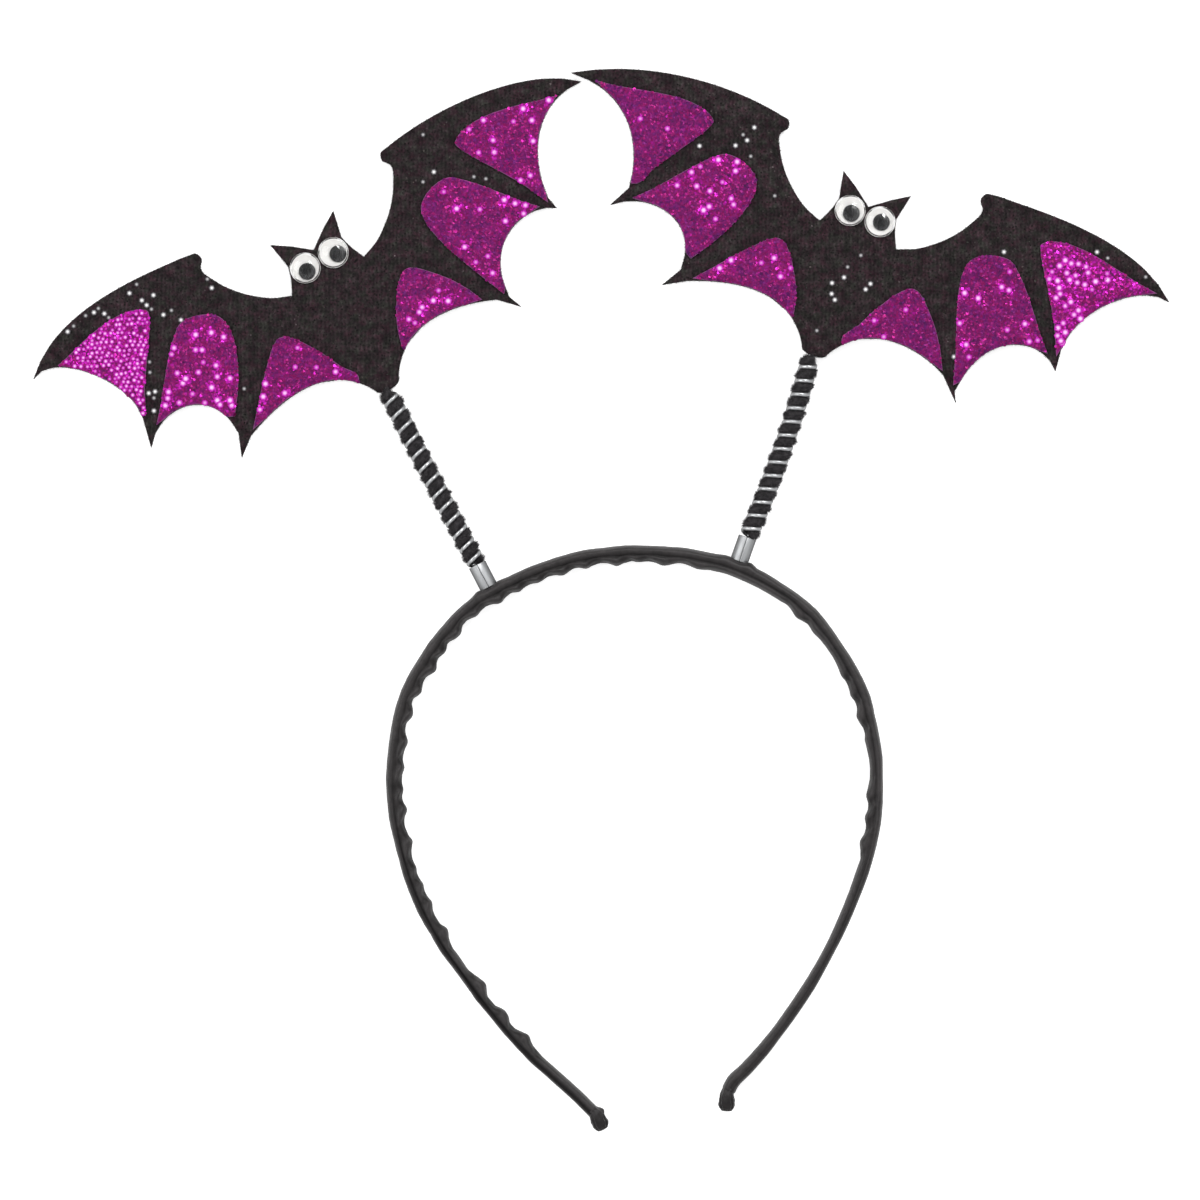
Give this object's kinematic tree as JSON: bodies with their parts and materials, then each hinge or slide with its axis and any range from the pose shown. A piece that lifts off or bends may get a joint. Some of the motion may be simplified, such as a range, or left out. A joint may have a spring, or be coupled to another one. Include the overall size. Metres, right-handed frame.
{
  "type": "bat headband",
  "caption": "Satin-covered open hoop headband carrying bats of black felt with glitter wing panels and wiggle eyes on coil springs wound with black chenille.",
  "frame": {"origin": "centre of the object's box, on the surface that it lies on", "axes": "+X to the right as seen from the front, +Y from the hoop's open ends to the bats, +Z to the viewer"},
  "size_m": [0.2843, 0.2657, 0.0079],
  "materials": {
    "satin": "black satin with a soft sheen",
    "satin_end": "black satin drawn tight over the end",
    "ferrule_metal": "bright plated sheet, rolled",
    "spring_wire": "bright drawn wire",
    "chenille": "black cut pile",
    "felt": "black felt, matt, with stray glitter",
    "glitter": "purple glitter sheet with bright flakes",
    "eye_white": "white plastic disc",
    "pupil_black": "black plastic disc",
    "clear_dome": "clear plastic dome"
  },
  "bodies": {
    "headpiece": {"headband": "satin", "tip_left": "satin_end", "ferrule_left": "ferrule_metal", "spring_left": "spring_wire", "chenille_left": "chenille", "bat_left": "felt", "panel_left_bat_left_outer": "glitter", "panel_left_bat_left_middle": "glitter", "panel_left_bat_left_inner": "glitter", "eye_base_left_bat_left": "eye_white", "eye_dome_left_bat_left": "clear_dome", "panel_left_bat_right_outer": "glitter", "panel_left_bat_right_middle": "glitter", "panel_left_bat_right_inner": "glitter", "eye_base_left_bat_right": "eye_white", "eye_dome_left_bat_right": "clear_dome", "tip_right": "satin_end", "ferrule_right": "ferrule_metal", "spring_right": "spring_wire", "chenille_right": "chenille", "bat_right": "felt", "panel_right_bat_left_outer": "glitter", "panel_right_bat_left_middle": "glitter", "panel_right_bat_left_inner": "glitter", "eye_base_right_bat_left": "eye_white", "eye_dome_right_bat_left": "clear_dome", "panel_right_bat_right_outer": "glitter", "panel_right_bat_right_middle": "glitter", "panel_right_bat_right_inner": "glitter", "eye_base_right_bat_right": "eye_white", "eye_dome_right_bat_right": "clear_dome"},
    "pupil_left_bat_left": {"pupil_left_bat_left": "pupil_black"},
    "pupil_left_bat_right": {"pupil_left_bat_right": "pupil_black"},
    "pupil_right_bat_left": {"pupil_right_bat_left": "pupil_black"},
    "pupil_right_bat_right": {"pupil_right_bat_right": "pupil_black"}
  },
  "joints": [
    {"name": "pupil_roll_left_bat_left", "type": "hinge", "parent": "headpiece", "child": "pupil_left_bat_left", "pos_m": [-0.074, 0.08293, 0.00585], "axis": [0, 0, 1], "continuous": true},
    {"name": "pupil_roll_left_bat_right", "type": "hinge", "parent": "headpiece", "child": "pupil_left_bat_right", "pos_m": [-0.06698, 0.08676, 0.00585], "axis": [0, 0, 1], "continuous": true},
    {"name": "pupil_roll_right_bat_left", "type": "hinge", "parent": "headpiece", "child": "pupil_right_bat_left", "pos_m": [0.06209, 0.09729, 0.00585], "axis": [0, 0, 1], "continuous": true},
    {"name": "pupil_roll_right_bat_right", "type": "hinge", "parent": "headpiece", "child": "pupil_right_bat_right", "pos_m": [0.06958, 0.09448, 0.00585], "axis": [0, 0, 1], "continuous": true}
  ]
}
